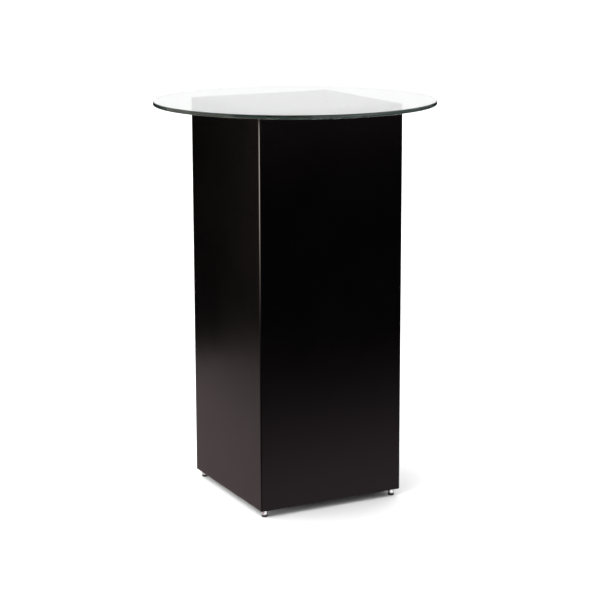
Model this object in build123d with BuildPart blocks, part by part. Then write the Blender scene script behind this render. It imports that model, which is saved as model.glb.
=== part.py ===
from build123d import *

import os
from itertools import product

# Display plinth: a square lacquered MDF column on four levelling feet, under a round glass top.
# Millimetres, +Z up. The origin is on the floor, under the middle of the column.

# Column
COLUMN_SIDE = 400.0
BOARD = 18.0
EDGE_RADIUS = 4.0  # rounded upright edges
ARRIS_RADIUS = 3.0  # eased top and bottom edges
FOOT_HEIGHT = 17.5  # floor to underside of the column
COLUMN_HEIGHT = 995.0

# Inner framing: square softwood
BATTEN = 22.0

# Glass top
GLASS_DIAMETER = 720.0
GLASS_THICKNESS = 10.0
GLASS_ARRIS = 1.0
BUMPER_DIAMETER = 9.5
BUMPER_HEIGHT = 1.5
BUMPER_EDGE_RADIUS = 0.5
BUMPER_REACH = 165.0  # from the middle of the column out towards each side
BUMPER_SHIFT = 50.0  # along each side, from its middle

# Joinery
DOWEL_DIAMETER = 8.0
DOWEL_IN_PANEL = 12.0
DOWEL_IN_WALL = 18.0
DOWEL_SPACING = 120.0
BISCUIT_LENGTH = 56.0
BISCUIT_WIDTH = 22.0
BISCUIT_THICKNESS = 4.0
BISCUIT_REACH = 187.0  # X and Y of a biscuit's middle, inside the mitre
SCREW_LENGTH = 34.0
SCREW_SHANK_RADIUS = 2.0
SCREW_HEAD_RADIUS = 4.0
SCREW_HEAD_HEIGHT = 2.4
SCREW_STAGGER = 40.0  # between a batten's two directions of screw
SCREWS_PER_BATTEN = 4
SCREWS_PER_CLEAT = 3

# Levelling feet
FOOT_REACH = 183.0  # X and Y of each foot's axis
BARREL_RADIUS = 7.7
BARREL_CHAMFER = 0.6
GROOVE_DROP = 4.2  # below the top of the barrel
GROOVE_WIDTH = 0.9
GROOVE_DEPTH = 0.7
SPIGOT_RADIUS = 2.6
SPIGOT_HEAD_RADIUS = 3.4
SPIGOT_LEAD = 0.4  # chamfer that starts the head into the pad
SPIGOT_BACK = 0.2  # slope of the head's upper edge
PAD_RADIUS = 7.8
PAD_HEIGHT = 4.8
PAD_EDGE_RADIUS = 0.8
PAD_CHAMFER = 0.4
PAD_LIP = 1.0  # rubber over the spigot head
PAD_FLOOR = 1.4  # rubber left under the spigot head
STUD_RADIUS = 4.0
STUD_LENGTH = 16.0
STUD_IN_BARREL = 6.0
STUD_CHAMFER = 1.0
INSERT_RADIUS = 5.5
INSERT_LENGTH = 16.5
INSERT_FLANGE_RADIUS = 7.5
INSERT_FLANGE_HEIGHT = 1.2
RUNNING_GAP = 0.05  # radial, round the stud and the spigot
FREE_GAP = 0.3  # between faces that move apart

# Levels and widths that follow from the sizes above
HALF_SIDE = COLUMN_SIDE / 2
COLUMN_TOP = FOOT_HEIGHT + COLUMN_HEIGHT
WALL_BOTTOM = FOOT_HEIGHT + BOARD
WALL_HEIGHT = COLUMN_HEIGHT - 2 * BOARD
WALL_TOP = WALL_BOTTOM + WALL_HEIGHT
INNER_SIDE = COLUMN_SIDE - 2 * BOARD
WALL_MIDDLE = HALF_SIDE - BOARD / 2
BATTEN_MIDDLE = INNER_SIDE / 2 - BATTEN / 2
CLEAT_LENGTH = INNER_SIDE - 2 * BATTEN
GLASS_BOTTOM = COLUMN_TOP + BUMPER_HEIGHT
BARREL_TOP = FOOT_HEIGHT - FREE_GAP
BARREL_BOTTOM = PAD_HEIGHT + FREE_GAP
SPIGOT_END = PAD_FLOOR + FREE_GAP
SOCKET_TOP = PAD_HEIGHT - PAD_LIP
GROOVE_TOP = BARREL_TOP - GROOVE_DROP

SIDES = {"front": 0, "right": 90, "back": 180, "left": 270}
CORNERS = {
    "front_left": (-1, -1),
    "front_right": (1, -1),
    "back_right": (1, 1),
    "back_left": (-1, 1),
}

os.makedirs("parts", exist_ok=True)


def save(builder, name):
    """Label a finished piece and write it as its own STEP file."""
    builder.part.label = name
    export_step(builder.part, f"parts/{name}.step")


def side_plane(height, angle):
    """A level plane whose -Y points out of one side of the column."""
    return Plane.XY.offset(height).rotated((0, 0, angle))


def corner_plane(height, reach, signs):
    """A level plane on the diagonal of one corner."""
    return Plane((signs[0] * reach, signs[1] * reach, height))


def screw_place(origin, direction):
    """A plane at a screw's head, facing the way the screw is driven."""
    return Plane(origin=origin, z_dir=direction)


def add_screws(places):
    """Add countersunk screws to the current part, one for each place."""
    with Locations(*places):
        Cone(
            SCREW_HEAD_RADIUS,
            SCREW_SHANK_RADIUS,
            SCREW_HEAD_HEIGHT,
            align=(Align.CENTER, Align.CENTER, Align.MIN),
        )
        Cylinder(
            SCREW_SHANK_RADIUS,
            SCREW_LENGTH,
            align=(Align.CENTER, Align.CENTER, Align.MIN),
        )


# ---------------------------------------------------------------- joinery pieces

# Dowels that tie the walls to the base panel and to the top panel
def dowels_across(seam, below_seam):
    """Three dowels in the edge of each wall, standing across a level seam."""
    with BuildPart() as dowels:
        for angle in SIDES.values():
            with BuildSketch(side_plane(seam - below_seam, angle)):
                with Locations((0, -WALL_MIDDLE)):
                    with GridLocations(DOWEL_SPACING, 1, 3, 1):
                        Circle(DOWEL_DIAMETER / 2)
        extrude(amount=DOWEL_IN_PANEL + DOWEL_IN_WALL)
    return dowels


base_dowels = dowels_across(WALL_BOTTOM, DOWEL_IN_PANEL)
save(base_dowels, "base_dowels")

top_dowels = dowels_across(WALL_TOP, DOWEL_IN_WALL)
save(top_dowels, "top_dowels")

# Biscuits across the mitres, each a thin oval that lies across the joint
with BuildPart() as biscuits:
    for (sx, sy), share in product(CORNERS.values(), (0.2, 0.5, 0.8)):
        middle = (
            sx * BISCUIT_REACH,
            sy * BISCUIT_REACH,
            WALL_BOTTOM + share * WALL_HEIGHT,
        )
        with BuildSketch(Plane(origin=middle, x_dir=(0, 0, 1), z_dir=(sx, sy, 0))):
            Ellipse(BISCUIT_LENGTH / 2, BISCUIT_WIDTH / 2)
        extrude(amount=BISCUIT_THICKNESS / 2, both=True)
save(biscuits, "mitre_biscuits")

# Screws from the battens into both walls of each corner
batten_face = INNER_SIDE / 2 - BATTEN
batten_screw_places = []
for (sx, sy), step in product(CORNERS.values(), range(SCREWS_PER_BATTEN)):
    rise = WALL_BOTTOM + WALL_HEIGHT * (step + 0.5) / SCREWS_PER_BATTEN
    lower = (sx * batten_face, sy * BATTEN_MIDDLE, rise - SCREW_STAGGER / 2)
    upper = (sx * BATTEN_MIDDLE, sy * batten_face, rise + SCREW_STAGGER / 2)
    batten_screw_places.append(screw_place(lower, (sx, 0, 0)))
    batten_screw_places.append(screw_place(upper, (0, sy, 0)))
with BuildPart() as batten_screws:
    add_screws(batten_screw_places)
save(batten_screws, "batten_screws")

# Screws from the cleats into the top panel and into the base panel
screw_spread = CLEAT_LENGTH / SCREWS_PER_CLEAT
cleat_points = []
for along in (-screw_spread, 0, screw_spread):
    for across in (-BATTEN_MIDDLE, BATTEN_MIDDLE):
        cleat_points += [(along, across), (across, along)]
with BuildPart() as top_screws:
    add_screws([screw_place((x, y, WALL_TOP - BATTEN), (0, 0, 1)) for x, y in cleat_points])
save(top_screws, "top_screws")

with BuildPart() as base_screws:
    add_screws([screw_place((x, y, WALL_BOTTOM + BATTEN), (0, 0, -1)) for x, y in cleat_points])
save(base_screws, "base_screws")

# ---------------------------------------------------------------- levelling feet

# Threaded insert, flush in the underside of the base panel (thread left plain)
for name, signs in CORNERS.items():
    with BuildPart() as insert:
        with BuildSketch(corner_plane(FOOT_HEIGHT, FOOT_REACH, signs)):
            Circle(INSERT_FLANGE_RADIUS)
        extrude(amount=INSERT_FLANGE_HEIGHT)
        with BuildSketch(corner_plane(FOOT_HEIGHT, FOOT_REACH, signs)):
            Circle(INSERT_RADIUS)
        extrude(amount=INSERT_LENGTH)
        with BuildSketch(corner_plane(FOOT_HEIGHT, FOOT_REACH, signs)):
            Circle(STUD_RADIUS + RUNNING_GAP)
        extrude(amount=INSERT_LENGTH, mode=Mode.SUBTRACT)
    save(insert, f"foot_insert_{name}")

# Stud, pressed into the barrel, with a chamfered lead-in at its top
for name, signs in CORNERS.items():
    with BuildPart() as stud:
        with BuildSketch(corner_plane(BARREL_TOP - STUD_IN_BARREL, FOOT_REACH, signs)):
            Circle(STUD_RADIUS)
        extrude(amount=STUD_IN_BARREL + STUD_LENGTH)
        chamfer(stud.edges().sort_by(Axis.Z)[-1], STUD_CHAMFER)
    save(stud, f"foot_stud_{name}")

# Barrel: a turned collar, a groove, a longer body, and the spigot that snaps into the pad
barrel_outline = [
    (0, SPIGOT_END),
    (SPIGOT_HEAD_RADIUS - SPIGOT_LEAD, SPIGOT_END),
    (SPIGOT_HEAD_RADIUS, SPIGOT_END + SPIGOT_LEAD),
    (SPIGOT_HEAD_RADIUS, SOCKET_TOP - SPIGOT_BACK),
    (SPIGOT_RADIUS, SOCKET_TOP),
    (SPIGOT_RADIUS, BARREL_BOTTOM),
    (BARREL_RADIUS - BARREL_CHAMFER, BARREL_BOTTOM),
    (BARREL_RADIUS, BARREL_BOTTOM + BARREL_CHAMFER),
    (BARREL_RADIUS, GROOVE_TOP - GROOVE_WIDTH),
    (BARREL_RADIUS - GROOVE_DEPTH, GROOVE_TOP - GROOVE_WIDTH),
    (BARREL_RADIUS - GROOVE_DEPTH, GROOVE_TOP),
    (BARREL_RADIUS, GROOVE_TOP),
    (BARREL_RADIUS, BARREL_TOP - BARREL_CHAMFER),
    (BARREL_RADIUS - BARREL_CHAMFER, BARREL_TOP),
    (STUD_RADIUS, BARREL_TOP),
    (STUD_RADIUS, BARREL_TOP - STUD_IN_BARREL),
    (0, BARREL_TOP - STUD_IN_BARREL),
]
for name, (sx, sy) in CORNERS.items():
    foot_axis = Axis((sx * FOOT_REACH, sy * FOOT_REACH, 0), (0, 0, 1))
    with BuildPart() as barrel:
        with BuildSketch(Plane(origin=foot_axis.position, x_dir=(1, 0, 0), z_dir=(0, -1, 0))):
            with BuildLine():
                Polyline(*barrel_outline, close=True)
            make_face()
        revolve(axis=foot_axis)
    save(barrel, f"foot_barrel_{name}")

# Pad: a rubber disc with a socket that grips the spigot's head and lets the barrel turn
for name, signs in CORNERS.items():
    with BuildPart() as pad:
        with BuildSketch(corner_plane(0, FOOT_REACH, signs)):
            Circle(PAD_RADIUS)
        extrude(amount=PAD_HEIGHT)
        fillet(pad.edges().sort_by(Axis.Z)[-1], PAD_EDGE_RADIUS)
        chamfer(pad.edges().sort_by(Axis.Z)[0], PAD_CHAMFER)
        with BuildSketch(corner_plane(PAD_FLOOR, FOOT_REACH, signs)):
            Circle(SPIGOT_HEAD_RADIUS + RUNNING_GAP)
        extrude(amount=SOCKET_TOP - PAD_FLOOR, mode=Mode.SUBTRACT)
        with BuildSketch(corner_plane(PAD_FLOOR, FOOT_REACH, signs)):
            Circle(SPIGOT_RADIUS + RUNNING_GAP)
        extrude(amount=PAD_HEIGHT, mode=Mode.SUBTRACT)
    save(pad, f"foot_pad_{name}")

# ---------------------------------------------------------------- column boards

# Walls: mitred boards, cut from one rounded square tube of board
for name, angle in SIDES.items():
    with BuildPart() as wall:
        with BuildSketch(side_plane(WALL_BOTTOM, angle)):
            RectangleRounded(COLUMN_SIDE, COLUMN_SIDE, EDGE_RADIUS)
            Rectangle(INNER_SIDE, INNER_SIDE, mode=Mode.SUBTRACT)
            with BuildLine():
                Polyline(
                    (0, 0),
                    (-COLUMN_SIDE, -COLUMN_SIDE),
                    (COLUMN_SIDE, -COLUMN_SIDE),
                    close=True,
                )
            make_face(mode=Mode.INTERSECT)
        extrude(amount=WALL_HEIGHT)
        for joinery in (base_dowels, top_dowels, biscuits, batten_screws):
            add(joinery.part, mode=Mode.SUBTRACT)
    save(wall, f"{name}_wall")

# Base panel: carries the walls on its upper face and the inserts in its corners
with BuildPart() as base_panel:
    with BuildSketch(Plane.XY.offset(FOOT_HEIGHT)):
        RectangleRounded(COLUMN_SIDE, COLUMN_SIDE, EDGE_RADIUS)
    extrude(amount=BOARD)
    fillet(base_panel.faces().sort_by(Axis.Z)[0].edges(), ARRIS_RADIUS)
    with BuildSketch(Plane.XY.offset(FOOT_HEIGHT)):
        with GridLocations(2 * FOOT_REACH, 2 * FOOT_REACH, 2, 2):
            Circle(INSERT_FLANGE_RADIUS)
    extrude(amount=INSERT_FLANGE_HEIGHT, mode=Mode.SUBTRACT)
    with BuildSketch(Plane.XY.offset(FOOT_HEIGHT)):
        with GridLocations(2 * FOOT_REACH, 2 * FOOT_REACH, 2, 2):
            Circle(INSERT_RADIUS)
    extrude(amount=INSERT_LENGTH, mode=Mode.SUBTRACT)
    for joinery in (base_dowels, base_screws):
        add(joinery.part, mode=Mode.SUBTRACT)
save(base_panel, "base_panel")

# Top panel: lies on the walls and carries the bumpers
with BuildPart() as top_panel:
    with BuildSketch(Plane.XY.offset(WALL_TOP)):
        RectangleRounded(COLUMN_SIDE, COLUMN_SIDE, EDGE_RADIUS)
    extrude(amount=BOARD)
    fillet(top_panel.faces().sort_by(Axis.Z)[-1].edges(), ARRIS_RADIUS)
    for joinery in (top_dowels, top_screws):
        add(joinery.part, mode=Mode.SUBTRACT)
save(top_panel, "top_panel")

# ---------------------------------------------------------------- inner framing

# Upright battens in the corners
for name, signs in CORNERS.items():
    with BuildPart() as batten:
        with BuildSketch(corner_plane(WALL_BOTTOM, BATTEN_MIDDLE, signs)):
            Rectangle(BATTEN, BATTEN)
        extrude(amount=WALL_HEIGHT)
        add(batten_screws.part, mode=Mode.SUBTRACT)
    save(batten, f"corner_batten_{name}")

# Cleats between the battens, under the top panel and on the base panel
for name, angle in SIDES.items():
    for level, start, screws in (
        ("top", WALL_TOP - BATTEN, top_screws),
        ("base", WALL_BOTTOM, base_screws),
    ):
        with BuildPart() as cleat:
            with BuildSketch(side_plane(start, angle)):
                with Locations((0, -BATTEN_MIDDLE)):
                    Rectangle(CLEAT_LENGTH, BATTEN)
            extrude(amount=BATTEN)
            add(screws.part, mode=Mode.SUBTRACT)
        save(cleat, f"{level}_cleat_{name}")

# ---------------------------------------------------------------- glass top

# Clear bumpers stuck to the top panel, one along each side
for name, angle in SIDES.items():
    with BuildPart() as bumper:
        with BuildSketch(side_plane(COLUMN_TOP, angle)):
            with Locations((BUMPER_SHIFT, -BUMPER_REACH)):
                Circle(BUMPER_DIAMETER / 2)
        extrude(amount=BUMPER_HEIGHT)
        fillet(bumper.edges().sort_by(Axis.Z)[-1], BUMPER_EDGE_RADIUS)
    save(bumper, f"glass_bumper_{name}")

# Round glass with a flat polished edge and small arrises; it rests on the bumpers by its weight
with BuildPart() as glass_top:
    with BuildSketch(Plane.XY.offset(GLASS_BOTTOM)):
        Circle(GLASS_DIAMETER / 2)
    extrude(amount=GLASS_THICKNESS)
    chamfer(glass_top.edges().filter_by(GeomType.CIRCLE), GLASS_ARRIS)
save(glass_top, "glass_top")
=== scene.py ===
import logging
import math
from dataclasses import dataclass
from enum import Enum
from typing import Sequence

import bmesh
import bpy
from mathutils import Matrix, Vector


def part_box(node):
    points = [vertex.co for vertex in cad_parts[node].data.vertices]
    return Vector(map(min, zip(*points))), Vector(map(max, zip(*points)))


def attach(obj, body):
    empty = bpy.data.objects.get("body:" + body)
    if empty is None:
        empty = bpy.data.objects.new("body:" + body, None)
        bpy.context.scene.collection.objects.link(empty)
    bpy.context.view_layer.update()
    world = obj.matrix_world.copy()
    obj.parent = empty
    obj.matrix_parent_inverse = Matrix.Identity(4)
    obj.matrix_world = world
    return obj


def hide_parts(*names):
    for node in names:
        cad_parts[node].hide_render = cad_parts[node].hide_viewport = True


# Looks of the display plinth: a satin black lacquered column on four chromed levelling feet,
# with a round clear glass top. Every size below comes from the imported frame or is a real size
# in millimetres times MM, so that each piece lies where its solid does. The studio is in metres.

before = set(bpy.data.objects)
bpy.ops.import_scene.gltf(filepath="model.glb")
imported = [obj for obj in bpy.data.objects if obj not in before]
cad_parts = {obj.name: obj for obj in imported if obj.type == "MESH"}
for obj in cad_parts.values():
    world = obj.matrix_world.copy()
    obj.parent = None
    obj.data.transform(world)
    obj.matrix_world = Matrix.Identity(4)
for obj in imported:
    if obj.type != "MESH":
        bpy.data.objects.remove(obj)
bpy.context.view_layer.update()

log = logging.getLogger("plinth")

Point = tuple[float, float]
Triple = tuple[float, float, float]
Colour = tuple[float, float, float, float]
Edges = tuple[float, float, float, float]

MM = 0.001
FULL_TURN = 2 * math.pi
HOLD = 0.4 * MM  # strip beside each rounding that keeps the flat faces' shading flat
WELD_GAP = 1e-7  # points nearer than this are one point
SHARP_DEGREES = 28.0
INSERT_FLANGE = 1.2 * MM  # how thick the flange of a foot's insert is
HALF_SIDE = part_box("base_panel")[1].x
GLASS_RADIUS = max(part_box("glass_top")[1].xy)
UPWARDS: Triple = (0.0, 0.0, 1.0)
WHITE: Colour = (1.0, 1.0, 1.0, 1.0)
MIX_FACTOR, MIX_LOW, MIX_HIGH = 0, 6, 7  # the sockets that a mix of colours reads
MIX_COLOUR = 2  # the socket that it gives


class Side(Enum):
    """A side of the column, by the angle its wall is turned from the front."""

    FRONT = 0
    RIGHT = 90
    BACK = 180
    LEFT = 270

    @property
    def word(self) -> str:
        """The side's name as it stands in the names of nodes."""
        return self.name.lower()


class Corner(Enum):
    """A corner of the column, by the signs of its X and Y."""

    FRONT_LEFT = (-1, -1)
    FRONT_RIGHT = (1, -1)
    BACK_RIGHT = (1, 1)
    BACK_LEFT = (-1, 1)

    @property
    def word(self) -> str:
        """The corner's name as it stands in the names of nodes."""
        return self.name.lower()


class Grain(Enum):
    """The direction that a wooden piece's grain runs in, as an index of X, Y and Z."""

    ALONG_X = 0
    ALONG_Y = 1
    ALONG_Z = 2


# ------------------------------------------------------------------ colours, nodes and finishes


def linear(srgb_hex: str, alpha: float = 1.0) -> Colour:
    """Turn an sRGB hex colour into linear light.

    Args:
        srgb_hex: six hex digits, such as "1a1a1a".
        alpha: the colour's alpha.

    Returns:
        Linear red, green, blue and the alpha.
    """

    def one(pair: str) -> float:
        """One channel's linear value."""
        share = int(pair, 16) / 255
        return share / 12.92 if share <= 0.04045 else ((share + 0.055) / 1.055) ** 2.4

    return (one(srgb_hex[0:2]), one(srgb_hex[2:4]), one(srgb_hex[4:6]), alpha)


def add_node(
    tree: bpy.types.NodeTree, kind: str, inputs: dict | None = None, **settings: object
) -> bpy.types.Node:
    """Add a node with its settings, values and links.

    Args:
        tree: the node tree that gets the node.
        kind: the node's type name.
        inputs: socket name or index to a value, to an output socket that feeds it, or to a node
            whose first output feeds it.
        **settings: the node's own properties.

    Returns:
        The new node.
    """
    node = tree.nodes.new(kind)
    for name, value in settings.items():
        setattr(node, name, value)
    for key, value in (inputs or {}).items():
        if isinstance(value, bpy.types.Node):
            value = value.outputs[0]
        if isinstance(value, bpy.types.NodeSocket):
            tree.links.new(value, node.inputs[key])
        else:
            node.inputs[key].default_value = value
    return node


@dataclass(frozen=True)
class Finish:
    """A surface finish; its subclasses say how it is made and what that gives the eye."""

    name: str

    def material(self) -> bpy.types.Material:
        """The finish's material, made once.

        Returns:
            The material.
        """
        found = bpy.data.materials.get(self.name)
        if found:
            return found
        made = bpy.data.materials.new(self.name)
        made.use_nodes = True
        tree = made.node_tree
        tree.nodes.clear()
        place = add_node(tree, "ShaderNodeTexCoord").outputs["Object"]
        shaders = {"Surface": self.surface(tree, place)}
        inside = self.volume(tree)
        if inside:
            shaders["Volume"] = inside
        add_node(tree, "ShaderNodeOutputMaterial", shaders)
        return made

    def surface(self, tree: bpy.types.NodeTree, place: bpy.types.NodeSocket) -> bpy.types.Node:
        """Build the surface shader; each finish has its own."""
        raise NotImplementedError

    def volume(self, tree: bpy.types.NodeTree) -> bpy.types.Node | None:
        """Build the shader of the inside; none, unless a finish has its own."""
        return None


@dataclass(frozen=True)
class SatinLacquer(Finish):
    """Sprayed polyurethane lacquer on filled and sanded MDF, satin black.

    Spraying leaves a very fine orange peel and a few dust nibs, which break up the blurred
    reflection of the floor, and hands polish the upper part of the rounded corners, which
    therefore catch a thin line of light.
    """

    name: str = "satin_black_lacquer"
    colour: str = "020202"
    worn_colour: str = "0a0909"
    roughness: float = 0.24
    uneven: float = 0.02
    ior: float = 1.19
    gleam: Colour = (1.0, 0.74, 0.80, 1.0)
    cloud_size: float = 120 * MM
    peel_size: float = 2.6 * MM
    peel_depth: float = 0.006 * MM
    nib_size: float = 0.9 * MM
    nib_height: float = 0.02 * MM
    rub_size: float = 14 * MM
    corner_band: float = 2.2 * MM
    polish_low: float = 0.36
    polish_high: float = 0.80
    polish_ior: float = 2.0
    polish_roughness: float = 0.12

    def surface(self, tree: bpy.types.NodeTree, place: bpy.types.NodeSocket) -> bpy.types.Node:
        """Lacquer with orange peel, nibs and burnished corners.

        Args:
            tree: the material's node tree.
            place: object coordinates.

        Returns:
            The shader.
        """
        at_corner = self.corners(tree, place)
        height = add_node(tree, "ShaderNodeSeparateXYZ", {0: place}).outputs["Z"]
        handled = add_node(
            tree,
            "ShaderNodeMapRange",
            {"Value": height, "From Min": self.polish_low, "From Max": self.polish_high},
            interpolation_type="SMOOTHSTEP",
        )
        polished = add_node(tree, "ShaderNodeMath", {0: at_corner, 1: handled}, operation="MULTIPLY")
        rubbed = add_node(
            tree, "ShaderNodeTexNoise", {"Vector": place, "Scale": 1 / self.rub_size, "Detail": 4.0}
        )
        worn = add_node(tree, "ShaderNodeMath", {0: at_corner, 1: rubbed}, operation="MULTIPLY")
        colour = add_node(
            tree,
            "ShaderNodeMix",
            {MIX_FACTOR: worn, MIX_LOW: linear(self.colour), MIX_HIGH: linear(self.worn_colour)},
            data_type="RGBA",
        ).outputs[MIX_COLOUR]
        cloud = add_node(
            tree, "ShaderNodeTexNoise", {"Vector": place, "Scale": 1 / self.cloud_size, "Detail": 3.0}
        )
        roughness = add_node(
            tree,
            "ShaderNodeMapRange",
            {
                "Value": cloud,
                "From Min": 0.3,
                "From Max": 0.7,
                "To Min": self.roughness - self.uneven,
                "To Max": self.roughness + self.uneven,
            },
            interpolation_type="SMOOTHSTEP",
        )
        return add_node(
            tree,
            "ShaderNodeBsdfPrincipled",
            {
                "Base Color": colour,
                "Roughness": roughness,
                "IOR": self.ior,
                "Specular Tint": self.gleam,
                "Coat Weight": polished,
                "Coat Roughness": self.polish_roughness,
                "Coat IOR": self.polish_ior,
                "Normal": self.relief(tree, place),
            },
        )

    def corners(self, tree: bpy.types.NodeTree, place: bpy.types.NodeSocket) -> bpy.types.Node:
        """Mark the rounded corners, where both X and Y come near the column's sides.

        Args:
            tree: the material's node tree.
            place: object coordinates.

        Returns:
            The node that gives 1 on a corner and 0 on a face.
        """
        split = add_node(tree, "ShaderNodeSeparateXYZ", {0: place}).outputs
        reach_x = add_node(tree, "ShaderNodeMath", {0: split["X"]}, operation="ABSOLUTE")
        reach_y = add_node(tree, "ShaderNodeMath", {0: split["Y"]}, operation="ABSOLUTE")
        nearest = add_node(tree, "ShaderNodeMath", {0: reach_x, 1: reach_y}, operation="MINIMUM")
        start = HALF_SIDE - self.corner_band * 2
        end = HALF_SIDE - self.corner_band / 2
        return add_node(
            tree,
            "ShaderNodeMapRange",
            {"Value": nearest, "From Min": start, "From Max": end},
            interpolation_type="SMOOTHSTEP",
        )

    def relief(self, tree: bpy.types.NodeTree, place: bpy.types.NodeSocket) -> bpy.types.Node:
        """Orange peel with dust nibs on it.

        Args:
            tree: the material's node tree.
            place: object coordinates.

        Returns:
            The node that gives the bumped normal.
        """
        peel = add_node(
            tree, "ShaderNodeTexNoise", {"Vector": place, "Scale": 1 / self.peel_size, "Detail": 1.0}
        )
        skin_bump = add_node(
            tree, "ShaderNodeBump", {"Height": peel, "Distance": self.peel_depth, "Strength": 1.0}
        )
        nibs = add_node(
            tree, "ShaderNodeTexNoise", {"Vector": place, "Scale": 1 / self.nib_size, "Detail": 0.0}
        )
        raised = add_node(
            tree,
            "ShaderNodeMapRange",
            {"Value": nibs, "From Min": 0.80, "From Max": 0.86},
            interpolation_type="SMOOTHSTEP",
        )
        return add_node(
            tree,
            "ShaderNodeBump",
            {"Height": raised, "Distance": self.nib_height, "Strength": 0.6, "Normal": skin_bump},
        )


@dataclass(frozen=True)
class RawMdf(Finish):
    """Bare MDF, sawn and unsealed: a felted brown board with fine pale and dark fibres."""

    name: str = "raw_mdf"
    colour: str = "a88660"
    dark_colour: str = "7d6044"
    fibre_size: float = 1.2 * MM  # real fibres are finer; drawn this coarse so that they show
    fibre_depth: float = 0.08 * MM
    cloud_size: float = 60 * MM

    def surface(self, tree: bpy.types.NodeTree, place: bpy.types.NodeSocket) -> bpy.types.Node:
        """Felted fibre board.

        Args:
            tree: the material's node tree.
            place: object coordinates.

        Returns:
            The shader.
        """
        fibre = add_node(
            tree,
            "ShaderNodeTexNoise",
            {"Vector": place, "Scale": 1 / self.fibre_size, "Detail": 6.0, "Distortion": 1.5},
        )
        cloud = add_node(
            tree, "ShaderNodeTexNoise", {"Vector": place, "Scale": 1 / self.cloud_size, "Detail": 3.0}
        )
        speck = add_node(
            tree,
            "ShaderNodeMapRange",
            {"Value": fibre, "From Min": 0.4, "From Max": 0.62},
            interpolation_type="SMOOTHSTEP",
        )
        both = add_node(tree, "ShaderNodeMath", {0: speck, 1: cloud}, operation="MULTIPLY")
        colour = add_node(
            tree,
            "ShaderNodeMix",
            {MIX_FACTOR: both, MIX_LOW: linear(self.colour), MIX_HIGH: linear(self.dark_colour)},
            data_type="RGBA",
        ).outputs[MIX_COLOUR]
        roughness = add_node(
            tree,
            "ShaderNodeMapRange",
            {"Value": fibre, "To Min": 0.82, "To Max": 0.95},
            interpolation_type="SMOOTHSTEP",
        )
        bump = add_node(tree, "ShaderNodeBump", {"Height": fibre, "Distance": self.fibre_depth})
        return add_node(
            tree, "ShaderNodeBsdfPrincipled", {"Base Color": colour, "Roughness": roughness, "Normal": bump}
        )


@dataclass(frozen=True)
class PlanedWood(Finish):
    """Planed timber: growth rings cut lengthwise as streaks, with fine pores along the grain."""

    name: str
    pale: str
    dark: str
    ring_width: float
    grain: Grain
    pore_size: float = 0.7 * MM
    pore_depth: float = 0.05 * MM
    stretch: float = 25.0  # how much longer than wide the figure runs
    rings_per_blotch: float = 14.0

    def surface(self, tree: bpy.types.NodeTree, place: bpy.types.NodeSocket) -> bpy.types.Node:
        """Streaked wood along its grain.

        Args:
            tree: the material's node tree.
            place: object coordinates.

        Returns:
            The shader.
        """
        scale = [1.0, 1.0, 1.0]
        scale[self.grain.value] = 1 / self.stretch
        along = add_node(tree, "ShaderNodeMapping", {"Vector": place, "Scale": scale})
        blotch = 1 / (self.ring_width * 2)
        rings = add_node(
            tree, "ShaderNodeTexNoise", {"Vector": along, "Scale": blotch, "Detail": 2.0, "Distortion": 0.6}
        )
        sharp = add_node(tree, "ShaderNodeMath", {0: rings, 1: self.rings_per_blotch}, operation="MULTIPLY")
        wave = add_node(tree, "ShaderNodeMath", {0: sharp}, operation="SINE")
        late = add_node(
            tree,
            "ShaderNodeMapRange",
            {"Value": wave, "From Min": -0.2, "From Max": 1.0},
            interpolation_type="SMOOTHSTEP",
        )
        pores = add_node(
            tree, "ShaderNodeTexNoise", {"Vector": along, "Scale": 1 / self.pore_size, "Detail": 3.0}
        )
        tone = add_node(tree, "ShaderNodeMath", {0: late, 1: pores}, operation="MULTIPLY")
        colour = add_node(
            tree,
            "ShaderNodeMix",
            {MIX_FACTOR: tone, MIX_LOW: linear(self.pale), MIX_HIGH: linear(self.dark)},
            data_type="RGBA",
        ).outputs[MIX_COLOUR]
        roughness = add_node(
            tree,
            "ShaderNodeMapRange",
            {"Value": pores, "To Min": 0.5, "To Max": 0.7},
            interpolation_type="SMOOTHSTEP",
        )
        bump = add_node(tree, "ShaderNodeBump", {"Height": pores, "Distance": self.pore_depth})
        return add_node(
            tree, "ShaderNodeBsdfPrincipled", {"Base Color": colour, "Roughness": roughness, "Normal": bump}
        )


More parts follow.
